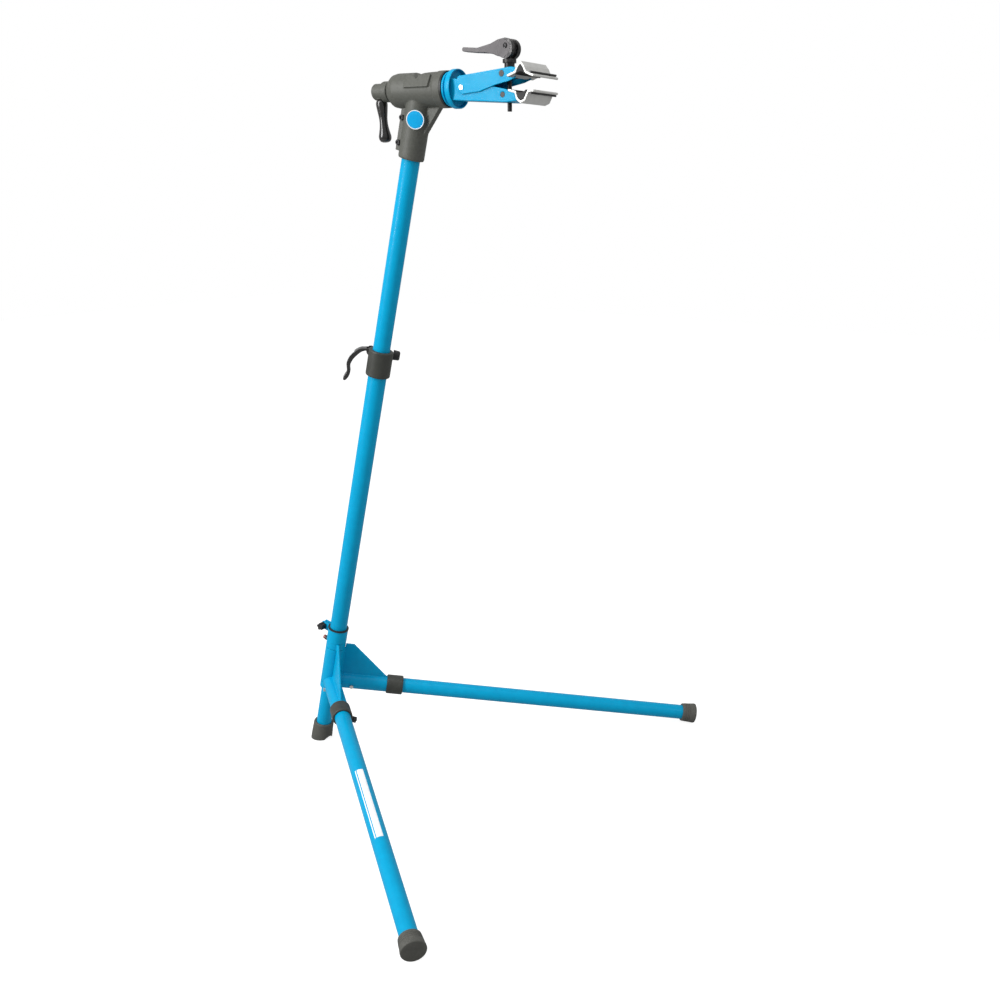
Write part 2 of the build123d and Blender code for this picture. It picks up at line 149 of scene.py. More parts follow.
def make_studio():
    world = bpy.data.worlds.new("studio")
    world.use_nodes = True
    tree = world.node_tree
    tree.nodes["Background"].inputs["Color"].default_value = (1, 1, 1, 1)
    tree.links.new(camera_sees(tree, WORLD_LIGHT, WORLD_PICTURE), tree.nodes["Background"].inputs["Strength"])
    bpy.context.scene.world = world
    bpy.context.scene.view_settings.view_transform = "Standard"
    make_panel("left_panel", (-1.4, -2.6, 2.2), STAND_MIDDLE, (1.0, 2.6), 112)
    make_panel("right_panel", (3.0, 0.4, 1.6), STAND_MIDDLE, (0.9, 2.2), 9)
    make_panel("top_panel", (0.3, -0.6, 3.2), STAND_MIDDLE, (2.0, 2.0), 20)


make_studio()

# %% [markdown]
# Floor
#
# The floor is one wide sheet, a hair below the boots so that the two never share a plane. It throws little
# light back up, so that undersides stay dark, but the camera sees it as white, and it meets the background
# without a line.

# %% Floor
FLOOR_HALF = 9
FLOOR_DROP = 0.0004


def make_floor():
    bm = bmesh.new()
    bmesh.ops.create_grid(bm, x_segments=4, y_segments=4, size=FLOOR_HALF)
    bmesh.ops.translate(bm, vec=(0, 0, -FLOOR_DROP), verts=bm.verts)
    mesh = bpy.data.meshes.new("floor")
    bm.to_mesh(mesh)
    bm.free()
    floor = bpy.data.objects.new("floor", mesh)
    bpy.context.scene.collection.objects.link(floor)
    return floor


floor = make_floor()
print("floor", [round(side, 1) for side in floor.dimensions])

# %% [markdown]
# Shared effects
#
# Powder coat, cast metal, rubber and moulded plastic differ in colour, but their surfaces are uneven in the
# same few ways. Each way is a node group, built once and placed in a material with its own numbers. The
# noises read Object coordinates in metres, so a grain of half a millimetre is that size on every piece.


# %% Node group helpers
def new_group(name, inputs, outputs):
    """Empty shader group with its sockets; returns the tree and its two end nodes."""
    tree = bpy.data.node_groups.new(name, "ShaderNodeTree")
    for socket, value in inputs.items():
        given = tree.interface.new_socket(socket, in_out="INPUT", socket_type="NodeSocketFloat")
        given.default_value = value
    for socket, kind in outputs.items():
        tree.interface.new_socket(socket, in_out="OUTPUT", socket_type=kind)
    return tree, tree.nodes.new("NodeGroupInput"), tree.nodes.new("NodeGroupOutput")


def noise(tree, scale, detail=3.0, rough=0.6, stretch=None):
    """Noise on Object coordinates; scale is a number or a socket, stretch an x, y, z factor."""
    where = tree.nodes.new("ShaderNodeTexCoord").outputs["Object"]
    if stretch:
        mapping = tree.nodes.new("ShaderNodeMapping")
        mapping.inputs["Scale"].default_value = stretch
        tree.links.new(where, mapping.inputs["Vector"])
        where = mapping.outputs["Vector"]
    node = tree.nodes.new("ShaderNodeTexNoise")
    node.inputs["Detail"].default_value = detail
    node.inputs["Roughness"].default_value = rough
    tree.links.new(where, node.inputs["Vector"])
    if isinstance(scale, bpy.types.NodeSocket):
        tree.links.new(scale, node.inputs["Scale"])
    else:
        node.inputs["Scale"].default_value = scale
    return node.outputs["Fac"]


def spread(tree, value, low, high, to_low=0.0, to_high=1.0):
    """Stretch a value from low..high to another range, and hold it there."""
    node = tree.nodes.new("ShaderNodeMapRange")
    for socket, number in zip(("From Min", "From Max", "To Min", "To Max"), (low, high, to_low, to_high)):
        if isinstance(number, bpy.types.NodeSocket):
            tree.links.new(number, node.inputs[socket])
        else:
            node.inputs[socket].default_value = number
    tree.links.new(value, node.inputs["Value"])
    return node.outputs["Result"]


def arithmetic(tree, operation, a, b):
    node = tree.nodes.new("ShaderNodeMath")
    node.operation = operation
    for socket, value in zip(node.inputs, (a, b)):
        if isinstance(value, bpy.types.NodeSocket):
            tree.links.new(value, socket)
        else:
            socket.default_value = value
    return node.outputs["Value"]


# %% [markdown]
# Grain
#
# Cast and moulded surfaces carry a fine grain over a slower waviness. One noise with many octaves could give
# both, but two noises let each be set alone. The group adds them into one height for a Bump node. The slow
# one is also put out as a shade, which a material uses to vary its colour.


# %% Group: grain
def make_grain_group():
    tree, given, out = new_group("surface grain", {"Fine": 900.0, "Broad": 60.0, "Broad Share": 0.5},
                                 {"Height": "NodeSocketFloat", "Shade": "NodeSocketFloat"})
    fine = noise(tree, given.outputs["Fine"], 3.0)
    broad = noise(tree, given.outputs["Broad"], 2.0)
    part = arithmetic(tree, "MULTIPLY", broad, given.outputs["Broad Share"])
    tree.links.new(arithmetic(tree, "ADD", fine, part), out.inputs["Height"])
    tree.links.new(spread(tree, broad, 0.3, 0.7), out.inputs["Shade"])
    return tree


grain = make_grain_group()
print(grain.name, "has", len(grain.nodes), "nodes")

# %% [markdown]
# Edge wear
#
# Handling rubs the outermost edges first. The worn edges could be painted by hand, but a rule finds them
# on every piece at once. Geometry's Pointiness is high on convex edges, and a noise breaks the line up, so
# the rubbing comes and goes. The group puts out a mask, and each material decides what shows under it.


# %% Group: edge wear
def make_wear_group():
    tree, given, out = new_group("edge wear", {"Start": 0.56, "End": 0.68, "Amount": 0.5},
                                 {"Mask": "NodeSocketFloat"})
    shape = tree.nodes.new("ShaderNodeNewGeometry").outputs["Pointiness"]
    edge = spread(tree, shape, given.outputs["Start"], given.outputs["End"])
    patches = spread(tree, noise(tree, 180.0, 4.0), 0.42, 0.62)
    rubbed = arithmetic(tree, "MULTIPLY", edge, patches)
    tree.links.new(arithmetic(tree, "MULTIPLY", rubbed, given.outputs["Amount"]), out.inputs["Mask"])
    return tree


edge_wear = make_wear_group()
print(edge_wear.name, "has", len(edge_wear.nodes), "nodes")

# %% [markdown]
# Dust and smudges
#
# Dust settles on faces that look up, and fingers leave duller patches anywhere. The upward part of the
# normal finds the first, and a slow noise stands in for the second. The group gives one mask for each. Both
# stay faint, because the stand is new.


# %% Group: dust
def make_dust_group():
    tree, given, out = new_group("dust", {"Amount": 0.3},
                                 {"Mask": "NodeSocketFloat", "Smudge": "NodeSocketFloat"})
    parts = tree.nodes.new("ShaderNodeSeparateXYZ")
    tree.links.new(tree.nodes.new("ShaderNodeNewGeometry").outputs["Normal"], parts.inputs["Vector"])
    upward = spread(tree, parts.outputs["Z"], 0.2, 1.0)
    speckle = spread(tree, noise(tree, 420.0, 5.0, 0.7), 0.45, 0.75)
    dust = arithmetic(tree, "MULTIPLY", upward, speckle)
    tree.links.new(arithmetic(tree, "MULTIPLY", dust, given.outputs["Amount"]), out.inputs["Mask"])
    tree.links.new(spread(tree, noise(tree, 14.0, 3.0), 0.45, 0.7), out.inputs["Smudge"])
    return tree


dust = make_dust_group()
print(dust.name, "has", len(dust.nodes), "nodes")

# %% [markdown]
# Brushed lines
#
# The jaws and the small steel parts keep the lines of the belt that finished them. A wave texture would
# repeat too evenly. Noise squeezed across the lines and stretched along them has no pattern to spot.


# %% Group: brushed lines
BELT_LINES = (2600.0, 60.0, 2600.0)


def make_brush_group():
    tree, given, out = new_group("brushed lines", {"Contrast": 0.5}, {"Height": "NodeSocketFloat"})
    lines = noise(tree, 1.0, 4.0, 0.65, stretch=BELT_LINES)
    tree.links.new(arithmetic(tree, "MULTIPLY", lines, given.outputs["Contrast"]), out.inputs["Height"])
    return tree


brushed = make_brush_group()
print(brushed.name, "has", len(brushed.nodes), "nodes")

# %% [markdown]
# Materials
#
# One function makes every finish from the same parts: a base colour that varies a little, wear on its edges,
# dust on top, and a bump. Building each finish by hand would give fifteen trees to keep alike. Numbers that
# are even all over the surface, such as the coat, are typed straight into the shader. What varies is wired
# in.


# %% Material maker
DUST_COLOUR = (0.55, 0.53, 0.50)
COAT_ROUGHNESS = 0.06
SMUDGE_DULLS = 0.10


def mix_colours(tree, mask, a, b):
    node = tree.nodes.new("ShaderNodeMix")
    node.data_type = "RGBA"
    tree.links.new(mask, node.inputs["Factor"])
    for socket, colour in ((node.inputs[6], a), (node.inputs[7], b)):
        if isinstance(colour, bpy.types.NodeSocket):
            tree.links.new(colour, socket)
        else:
            socket.default_value = (*colour, 1)
    return node.outputs[2]


def use_group(tree, group, **values):
    node = tree.nodes.new("ShaderNodeGroup")
    node.node_tree = group
    for name, value in values.items():
        node.inputs[name.replace("_", " ")].default_value = value
    return node


def make_finish(name, colour, shade, roughness, metallic=0.0, coat=0.0, worn=None, wear=0.3, dusty=0.05,
                fine=900.0, broad=60.0, bump=0.15, bump_size=0.0002, lines=0.0, specular=0.4):
    """One finish: colour drifts towards shade, edges wear towards worn, and a bump roughens it."""
    material = bpy.data.materials.new(name)
    material.use_nodes = True
    tree = material.node_tree
    shader = tree.nodes["Principled BSDF"]
    shader.inputs["Metallic"].default_value = metallic
    shader.inputs["Coat Weight"].default_value = coat
    shader.inputs["Coat Roughness"].default_value = COAT_ROUGHNESS
    shader.inputs["Specular IOR Level"].default_value = specular
    surface = use_group(tree, grain, Fine=fine, Broad=broad)
    edges = use_group(tree, edge_wear, Amount=wear)
    settled = use_group(tree, dust, Amount=dusty)
    base = mix_colours(tree, surface.outputs["Shade"], colour, shade)
    base = mix_colours(tree, edges.outputs["Mask"], base, worn or shade)
    base = mix_colours(tree, settled.outputs["Mask"], base, DUST_COLOUR)
    tree.links.new(base, shader.inputs["Base Color"])
    dulled = min(1.0, roughness + SMUDGE_DULLS)
    smudged = spread(tree, settled.outputs["Smudge"], 0, 1, roughness, dulled)
    tree.links.new(smudged, shader.inputs["Roughness"])
    height = surface.outputs["Height"]
    if lines:
        belt = use_group(tree, brushed, Contrast=lines)
        height = arithmetic(tree, "ADD", height, belt.outputs["Height"])
    relief = tree.nodes.new("ShaderNodeBump")
    relief.inputs["Strength"].default_value = bump
    relief.inputs["Distance"].default_value = bump_size
    tree.links.new(height, relief.inputs["Height"])
    tree.links.new(relief.outputs["Normal"], shader.inputs["Normal"])
    return material


# %% [markdown]
# Blue powder coat
#
# The tubes, brackets and arms share one bright blue. Powder coat is smooth but not glossy, so its specular
# level is low and its coat thin: otherwise white reflections would pale the colour. Only its rims are lighter.

# %% Paint
finishes = {}
finishes["blue_paint"] = make_finish(
    "blue powder coat", (0.0, 0.325, 0.57), (0.0, 0.295, 0.53), 0.33, coat=0.03,
    worn=(0.0, 0.40, 0.66), wear=0.3, dusty=0.006, fine=420.0, bump=0.10, specular=0.10)
print("paint", finishes["blue_paint"].name)

# %% [markdown]
# Castings, mouldings and rubber
#
# The head is a warm grey casting with a coarse skin. The collars are a darker moulding, the boots a dull
# rubber, and the knobs nearly black. They differ less in colour than in grain, so each has its own sizes of
# noise. The club handle and the quick-release lever are the only glossy ones.

# %% Castings and mouldings
finishes["grey_casting"] = make_finish(
    "cast grey housing", (0.064, 0.066, 0.056), (0.082, 0.084, 0.073), 0.48,
    worn=(0.16, 0.16, 0.14), fine=1500.0, broad=240.0, bump=0.35, bump_size=0.0003)
finishes["grey_plastic"] = make_finish(
    "moulded grey collar", (0.030, 0.032, 0.027), (0.040, 0.042, 0.036), 0.44,
    worn=(0.13, 0.13, 0.11), fine=1800.0, bump=0.28)
finishes["boot_rubber"] = make_finish(
    "boot rubber", (0.060, 0.061, 0.053), (0.076, 0.076, 0.067), 0.62,
    worn=(0.12, 0.12, 0.11), dusty=0.12, fine=1100.0, bump=0.40, bump_size=0.0003)
finishes["black_plastic"] = make_finish(
    "black moulding", (0.008, 0.008, 0.009), (0.014, 0.014, 0.015), 0.40,
    worn=(0.04, 0.04, 0.04), fine=1500.0, bump=0.25)
finishes["handle_black"] = make_finish(
    "gloss black grip", (0.008, 0.008, 0.008), (0.015, 0.014, 0.013), 0.20, coat=0.5,
    worn=(0.04, 0.04, 0.04), fine=500.0, bump=0.12)
print(len(finishes), "finishes so far")

# %% [markdown]
# Metals and jaw pads
#
# Screws and pins are blackened or zinc-plated steel. The jaws are pale and only partly metallic: a fully
# metallic sheet would mirror the white room and lose its shading. The cam lever is a dull grey alloy.

# %% Metals and pads
finishes["black_steel"] = make_finish(
    "black oxide steel", (0.014, 0.014, 0.015), (0.025, 0.024, 0.025), 0.34,
    metallic=0.6, worn=(0.16, 0.155, 0.15), wear=0.5, lines=0.6, bump=0.15)
finishes["bright_steel"] = make_finish(
    "bright zinc", (0.66, 0.66, 0.64), (0.55, 0.55, 0.55), 0.24, metallic=1.0,
    worn=(0.8, 0.8, 0.78), lines=0.6, bump=0.10)
finishes["jaw_metal"] = make_finish(
    "satin silver jaw", (0.60, 0.60, 0.58), (0.52, 0.52, 0.50), 0.34, metallic=0.35,
    worn=(0.62, 0.61, 0.58), wear=0.1, lines=1.2, bump=0.22)
finishes["pad_rubber"] = make_finish(
    "pad rubber", (0.009, 0.009, 0.010), (0.018, 0.018, 0.018), 0.58,
    worn=(0.05, 0.05, 0.05), fine=1200.0, bump=0.35)
finishes["cam_alloy"] = make_finish(
    "satin grey alloy", (0.072, 0.066, 0.069), (0.055, 0.050, 0.053), 0.42, metallic=0.2,
    worn=(0.20, 0.19, 0.19), wear=0.05, fine=1300.0, broad=120.0, bump=0.08)
print(len(finishes), "finishes so far")

# %% [markdown]
# Small accents
#
# Three small surfaces stand out: the enamel of the badge, the dark red cap of the pull pin, and the white
# film of the stripes and labels. They are smooth, so their bump is nearly nothing.

# %% Accents
finishes["badge_blue"] = make_finish(
    "badge enamel", (0.0, 0.38, 0.74), (0.0, 0.34, 0.70), 0.18, coat=0.4, fine=400.0,
    bump=0.06, specular=0.25)
finishes["pin_red"] = make_finish(
    "dark red cap", (0.30, 0.05, 0.03), (0.22, 0.03, 0.02), 0.35, coat=0.2)
finishes["white_vinyl"] = make_finish(
    "white vinyl", (0.86, 0.87, 0.88), (0.80, 0.81, 0.83), 0.30, coat=0.3,
    worn=(0.6, 0.7, 0.8), fine=600.0, bump=0.05)
print(len(finishes), "finishes so far")

# %% [markdown]
# Floor finish, and finishes for the CAD pieces
#
# The floor is a dull grey that glows for the camera, by the same two-strength node as the world. Every CAD
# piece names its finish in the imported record, so a loop is enough to dress them all.

# %% Dress the floor and the CAD pieces
FLOOR_LIGHT, FLOOR_PICTURE = 0.1, 0.86
finishes["floor"] = make_finish(
    "studio floor", (0.36, 0.36, 0.36), (0.34, 0.34, 0.34), 0.80, dusty=0.0, bump=0.02, specular=0.1)
floor_tree = finishes["floor"].node_tree
floor_shader = floor_tree.nodes["Principled BSDF"]
floor_shader.inputs["Emission Color"].default_value = (1, 1, 1, 1)
floor_tree.links.new(camera_sees(floor_tree, FLOOR_LIGHT, FLOOR_PICTURE),
                     floor_shader.inputs["Emission Strength"])
floor.data.materials.append(finishes["floor"])
for item in frame["record"]["subparts"]:
    obj = frame["nodes"][item["node"]]
    obj.data.materials.clear()
    obj.data.materials.append(finishes[item["material_slot"]])
print(len(finishes), "finishes")

# %% [markdown]
# How new pieces are made
#
# A new mesh starts as a bmesh. Most pieces are turned, as on a lathe: a half outline is spun about its
# axis. A cylinder with loops cut into it would do as well, but an outline is easier to measure and change.
# Sharp edges are then bevelled, which catches the light as a real edge does. The last step hands the mesh
# to Blender as a piece that rides on its CAD body and stands for the CAD solids it replaces.


# %% Modelling helpers
def turn_outline(outline, where, steps=72):
    """Spin a closed outline of radius and height (mm) about Z, then carry it to its place."""
    bm = bmesh.new()
    verts = [bm.verts.new((r * MM, 0, z * MM)) for r, z in outline]
    edges = [bm.edges.new(pair) for pair in zip(verts, verts[1:] + verts[:1])]
    bmesh.ops.spin(bm, geom=verts + edges, axis=(0, 0, 1), cent=(0, 0, 0), angle=math.tau, steps=steps,
                   use_merge=True)
    bmesh.ops.remove_doubles(bm, verts=bm.verts, dist=1e-6)
    flat = [f for f in bm.faces if f.calc_area() < 1e-12]
    bmesh.ops.delete(bm, geom=flat, context="FACES_ONLY")
    bmesh.ops.recalc_face_normals(bm, faces=bm.faces)
    bmesh.ops.transform(bm, matrix=where, verts=bm.verts)
    return bm


def bevel_sharp(bm, width, segments=3, limit=32):
    """Round every edge that turns by more than limit degrees; width in mm."""
    sharp = [e for e in bm.edges if e.is_manifold and e.calc_face_angle() > math.radians(limit)]
    bmesh.ops.bevel(bm, geom=sharp, offset=width * MM, offset_type="OFFSET", segments=segments, profile=0.5,
                    affect="EDGES", clamp_overlap=True, material=-1)
    return bm


def add_piece(name, bm, body, slot, replaced=(), limit=38):
    """Turn a bmesh into a finished piece of the stand."""
    mesh = bpy.data.meshes.new(name)
    bm.to_mesh(mesh)
    bm.free()
    mesh.shade_smooth()
    mesh.set_sharp_from_angle(angle=math.radians(limit))
    piece = bpy.data.objects.new(name, mesh)
    bpy.context.scene.collection.objects.link(piece)
    mesh.materials.append(finishes[slot])
    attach(piece, body)
    if replaced:
        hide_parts(*replaced)
    print(f"{name}: {len(mesh.polygons)} faces on {body}")


# %% [markdown]
# Soft edges for castings and mouldings
#
# The CAD solids of the head, the brackets and the collars meet in sharp lines. The real ones are cast,
# moulded or welded, so every edge and inner corner is rounded. A bevel fails where many curved edges meet,
# as round the head's sockets. So a copy of the CAD mesh is rebuilt by a voxel remesh as an even skin of
# small squares, and a few rounds of smoothing then melt the lines into fillets.


# %% Cast copy
def cast_copy(node, voxel, rounds):
    """Copy of a CAD solid with rounded edges; voxel in mm, rounds of smoothing."""
    bm = bmesh.new()
    bm.from_mesh(frame["nodes"][node].data)
    bmesh.ops.remove_doubles(bm, verts=bm.verts, dist=2e-6)
    mesh = bpy.data.meshes.new("rough")
    bm.to_mesh(mesh)
    bm.free()
    rough = bpy.data.objects.new("rough", mesh)
    bpy.context.scene.collection.objects.link(rough)
    remesh = rough.modifiers.new("remesh", "REMESH")
    remesh.mode = "VOXEL"
    remesh.voxel_size = voxel * MM
    remesh.adaptivity = 0.0
    remeshed = rough.evaluated_get(bpy.context.evaluated_depsgraph_get())
    skin = bpy.data.meshes.new_from_object(remeshed)
    bpy.data.objects.remove(rough)
    bm = bmesh.new()
    bm.from_mesh(skin)
    for _ in range(rounds):
        bmesh.ops.smooth_vert(bm, verts=bm.verts, factor=0.5, use_axis_x=True, use_axis_y=True,
                              use_axis_z=True)
    return bm


# %% [markdown]
# Castings, brackets and collars
#
# Each of these keeps its CAD shape and gains rounded edges. Small parts get a finer voxel, because the
# fillet is about as wide as two voxels. The big ones get a coarser voxel and few rounds, which keeps their
# face counts down. The columns are the CAD piece, its body, its finish, the voxel in mm, and the rounds.

# %% Rounded castings
SKIN_LIMIT = 60
ROUNDED = [
    ("head_casting", "upper_mast", "grey_casting", 0.98, 1),
    ("handle_hub", "lock_handle", "grey_casting", 0.6, 3),
    ("height_collar", "lower_mast", "grey_plastic", 0.75, 3),
    ("near_leg_collar", "swing_mount", "grey_plastic", 0.7, 2),
    ("far_leg_collar", "base", "grey_plastic", 0.7, 2),
    ("fixed_leg_bracket", "base", "blue_paint", 1.0, 2),
    ("swing_leg_bracket", "swing_mount", "blue_paint", 1.0, 2),
    ("foot_boot", "base", "boot_rubber", 0.8, 4),
    ("lower_arm", "clamp", "blue_paint", 0.65, 2),
    ("upper_arm", "upper_jaw", "blue_paint", 0.65, 2),
    ("lower_jaw", "clamp", "jaw_metal", 0.55, 2),
    ("upper_jaw", "upper_jaw", "jaw_metal", 0.55, 2),
    ("lower_pad", "clamp", "pad_rubber", 0.6, 2),
    ("upper_pad", "upper_jaw", "pad_rubber", 0.6, 2),
    ("cam_lever", "cam_lever", "cam_alloy", 0.5, 4),
    ("height_lever", "height_lever", "handle_black", 0.45, 4),
    ("near_collar_knob", "near_knob", "black_plastic", 0.4, 3),
    ("far_collar_knob", "far_knob", "black_plastic", 0.4, 3),
    ("sleeve_knob", "sleeve_knob", "black_plastic", 0.4, 3),
]
for node, body, slot, voxel, rounds in ROUNDED:
    skin = cast_copy(node, voxel, rounds)
    add_piece(node + "_skin", skin, body, slot, replaced=[node], limit=SKIN_LIMIT)

# %% [markdown]
# Tubes
#
# All the stand's tubes are drawn the same way: the outline of one wall is spun about the tube's axis, and
# the two rims are rounded over. A plain cylinder would show a solid end wherever a tube slides out of
# another. Only the diameter and the ends differ. The upper mast slides in the lower one, so their walls
# leave a small gap. The ends are in millimetres from the hub.

# %% Tubes
LOWER_R, UPPER_R, WALL, FIT = 19.05, 17.45, 1.5, 0.1
HEAD_AT = (HEAD - HUB).length / MM
LOWER_MAST = (0, 770)
UPPER_MAST = (440, HEAD_AT - 28)
FOOT_TUBE = (-157, -2)
LEG_TUBE = (35, 888.5)


def make_tube(node, body, where, outer, inner, ends):
    low, high = ends
    bm = turn_outline([(inner, low), (outer, low), (outer, high), (inner, high)], where, steps=96)
    add_piece(node + "_body", bevel_sharp(bm, 0.5), body, "blue_paint", replaced=[node])


make_tube("lower_mast", "lower_mast", mast, LOWER_R, UPPER_R + FIT, LOWER_MAST)
make_tube("upper_mast", "upper_mast", mast, UPPER_R, UPPER_R - WALL, UPPER_MAST)
make_tube("foot_tube", "base", mast, UPPER_R, UPPER_R - WALL, FOOT_TUBE)
for side in ("near", "far"):
    make_tube(side + "_leg_tube", side + "_leg", legs[side], UPPER_R, UPPER_R - WALL, LEG_TUBE)

# %% [markdown]
# Leg boots
#
# Each leg ends in a rubber boot that flares towards its end. It has a lip where it starts, three shallow
# grip grooves, and a rolled rim. Grooves could be cut with rings afterwards, but they cost nothing when they
# are part of the outline that is spun.

# %% Leg boots
BOOT_START, BOOT_END, BOOT_R = 861.5, 895.5, 24.0
GROOVES = (7.5, 12.0, 16.5)
GROOVE_DEPTH = 0.7
FLARE = 0.06


def boot_outline():
    outline = [(UPPER_R, BOOT_START), (20.4, BOOT_START), (21.6, BOOT_START + 1.2),
               (21.8, BOOT_START + 3.5)]
    for groove in GROOVES:
        radius = 21.9 + groove * FLARE
        at = BOOT_START + groove
        outline += [(radius, at), (radius - GROOVE_DEPTH, at + 0.5), (radius - GROOVE_DEPTH, at + 1.3),
                    (radius + 0.1, at + 1.8)]
    outline += [(BOOT_R - 0.4, BOOT_END - 8), (BOOT_R, BOOT_END - 5), (BOOT_R, BOOT_END - 2.2),
                (BOOT_R - 0.7, BOOT_END - 0.7), (BOOT_R - 2.2, BOOT_END), (8.0, BOOT_END),
                (6.5, BOOT_END - 0.8), (0.0, BOOT_END - 0.8), (0.0, BOOT_END - 7), (UPPER_R, BOOT_END - 7)]
    return outline


for side in ("near", "far"):
    boot = bevel_sharp(turn_outline(boot_outline(), legs[side], steps=96), 0.25, segments=2)
    add_piece(side + "_boot", boot, side + "_leg", "boot_rubber", replaced=[side + "_leg_boot"])

# %% [markdown]
# Leg stripe
#
# The near leg carries a white marking. Here it is two plain stripes, one wide and one thin. A stripe painted
# in the material would have ragged edges up close, so each is a thin piece of its own. It starts as a flat
# grid, is wrapped round the tube by a short formula, and gets the thickness of a vinyl film.

# %% Leg stripe
STRIPE_SPAN = (388.0, 606.0)
STRIPE_MIDDLE = math.radians(21)
STRIPE_LIFT = 0.06
STRIPE_FILM = 0.12


def wrap_stripe(bm, turn_low, turn_high):
    """Bend a unit grid on to the near leg, between two angles from the stripe's middle line."""
    radius = UPPER_R + STRIPE_LIFT
    for vert in bm.verts:
        turn = STRIPE_MIDDLE + math.radians(turn_low + (turn_high - turn_low) * (vert.co.x + 0.5))
        along = STRIPE_SPAN[0] + (STRIPE_SPAN[1] - STRIPE_SPAN[0]) * (vert.co.y + 0.5)
        vert.co = Vector((radius * math.cos(turn), radius * math.sin(turn), along)) * MM
    bmesh.ops.transform(bm, matrix=legs["near"], verts=bm.verts)


def make_stripe(name, turn_low, turn_high):
    bm = bmesh.new()
    bmesh.ops.create_grid(bm, x_segments=18, y_segments=24, size=0.5)
    wrap_stripe(bm, turn_low, turn_high)
    bmesh.ops.recalc_face_normals(bm, faces=bm.faces)
    bmesh.ops.solidify(bm, geom=bm.faces[:], thickness=-STRIPE_FILM * MM)
    bmesh.ops.recalc_face_normals(bm, faces=bm.faces)
    add_piece(name, bm, "near_leg", "white_vinyl")


make_stripe("leg_stripe_wide", -30, 14)
make_stripe("leg_stripe_thin", 21, 28)

# %% [markdown]
# Club handle
#
# The handle that locks the clamp's rotation is one glossy moulding, thick at the top, slim in the middle
# and round at its end. It could be sculpted from a subdivided cylinder. As it is a turned shape, a few radii
# down its length describe it as well, and a smooth curve through them gives the rest.

# %% Club handle
CLUB = [(9.5, 0), (11.0, -6), (9.6, -18), (7.8, -32), (8.2, -44), (10.4, -55), (12.0, -62),
        (11.4, -67.5)]
CLUB_END = [(9.0, -71), (5.0, -72.6), (0.0, -73), (0.0, 0.0)]
CLUB_AT = Vector((-96, 0, -15)) * MM
CLUB_LEAN = math.radians(-5)


def smooth_outline(points, steps):
    """Points of a Catmull-Rom curve through the given radius, height points."""
    pts = [Vector(p) for p in [points[0], *points, points[-1]]]
    line = []
    for a, b, c, d in zip(pts, pts[1:], pts[2:], pts[3:]):
        for i in range(steps):
            t = i / steps
            line.append(tuple(0.5 * (2 * b + (c - a) * t + (2 * a - 5 * b + 4 * c - d) * t * t
                                     + (3 * b - a - 3 * c + d) * t ** 3)))
    return line + [tuple(pts[-1])]


def make_club():
    where = head @ Matrix.Translation(CLUB_AT) @ Matrix.Rotation(CLUB_LEAN, 4, "Y")
    bm = bevel_sharp(turn_outline(smooth_outline(CLUB, 5) + CLUB_END, where), 0.6)
    add_piece("club_handle", bm, "lock_handle", "handle_black", replaced=["handle_grip"])


make_club()

# %% [markdown]
# Swivel flange
#
# Behind the jaws, a blue turned flange carries the arms: a thin disc against the head, a neck, and a shallow
# dish. Three stacked discs would leave seams between them, so one outline holds all of it. Its rims are
# rounded, because the paint rounds them even where the metal was square.

# %% Swivel flange
FLANGE = [(0, 65.6), (29, 65.6), (29, 69.6), (23.6, 70.3), (23, 71.3), (23, 73.4), (24, 74.9), (33, 76),
          (33, 86), (30.8, 86), (30.5, 79), (0, 79)]


def make_flange():
    bm = bevel_sharp(turn_outline(FLANGE, shaft, steps=96), 0.7)
    add_piece("swivel_flange_body", bm, "clamp", "blue_paint", replaced=["swivel_flange"])


make_flange()

# %% [markdown]
# Badge
#
# The round badge on the head is a plain enamel disc with a pale raised ring and nothing written on it. One
# mesh with two materials would look the same, but two pieces keep the ring's edge crisp. The disc is
# slightly domed, and both are turned about the line that leaves the mast square to its surface.

# %% Badge
BADGE_TURN = math.radians(-60)
BADGE_REACH, BADGE_DROP = 26.4, 49
BADGE_OUT = Vector((math.cos(BADGE_TURN), math.sin(BADGE_TURN), 0))
badge_middle = BADGE_OUT * BADGE_REACH + Vector((0, 0, HEAD_AT - BADGE_DROP))
badge_at = place(mast @ (badge_middle * MM), mast.to_3x3() @ BADGE_OUT, MAST_WAY)


def make_badge():
    disc = [(0, -9), (16.5, -9), (16.5, -0.9), (15.2, -0.35), (10, -0.15), (5, -0.04), (0, 0)]
    add_piece("badge_disc", bevel_sharp(turn_outline(disc, badge_at), 0.3), "upper_mast", "badge_blue",
              replaced=["head_badge"])
    ring = [(14.9, -0.8), (16.5, -1.0), (16.5, 0), (15.1, 0)]
    add_piece("badge_ring", bevel_sharp(turn_outline(ring, badge_at), 0.25), "upper_mast", "white_vinyl")


make_badge()

# %% [markdown]
# Socket-head screws
#
# Two screws pinch the head's split socket on the mast, each with a nut on the far ear. A boolean cut would
# make the key's pocket, but it leaves long thin faces. Here a screw's head is a turned shape with a round
# pocket, and moving the pocket's points on to a hexagon makes the socket for the key.


# %% Screw head
def hexagon_radius(turn, corner):
    """Distance from the middle of a hexagon to its side, in the direction turn."""
    part = math.radians(60)
    return corner * math.cos(part / 2) / math.cos((turn % part) - part / 2)


